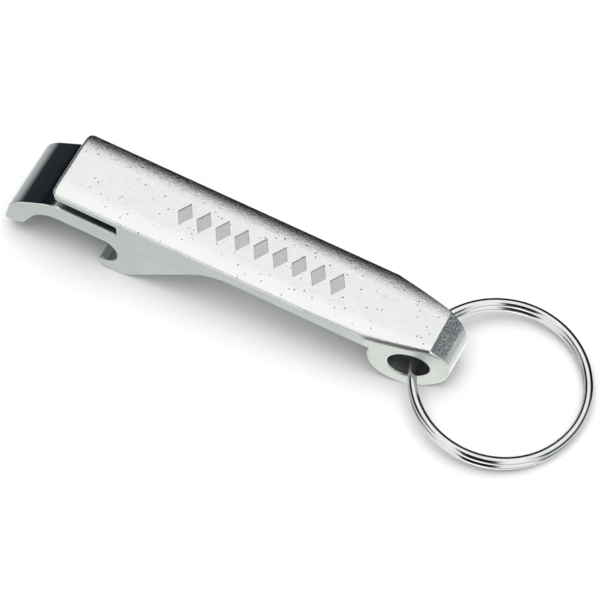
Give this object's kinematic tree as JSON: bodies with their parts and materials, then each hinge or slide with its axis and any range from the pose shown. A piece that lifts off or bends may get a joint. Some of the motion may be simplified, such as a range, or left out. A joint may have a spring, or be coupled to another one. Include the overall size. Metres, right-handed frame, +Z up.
{
  "type": "keychain bottle opener",
  "caption": "Slim extruded metal bar opener with a can-tab slot, a hooked cap mouth and a split ring swinging in the eye at its tapered end.",
  "frame": {"origin": "middle of the object's extents in plan, on the plane its underside rests on", "axes": "+X from the hook's lip to the ring, +Y across the width, +Z up"},
  "size_m": [0.0866, 0.025, 0.015],
  "materials": {
    "body_aluminium": "satin, tumbled",
    "ring_steel": "bright nickel plate on spring steel"
  },
  "bodies": {
    "opener": {"opener_body": "body_aluminium"},
    "ring": {"split_ring": "ring_steel"}
  },
  "joints": [
    {"name": "ring_swing", "type": "hinge", "parent": "opener", "child": "ring", "pos_m": [0.01905, 0, 0.00416], "axis": [0, 1, 0], "range_deg": [-163, 183]}
  ]
}
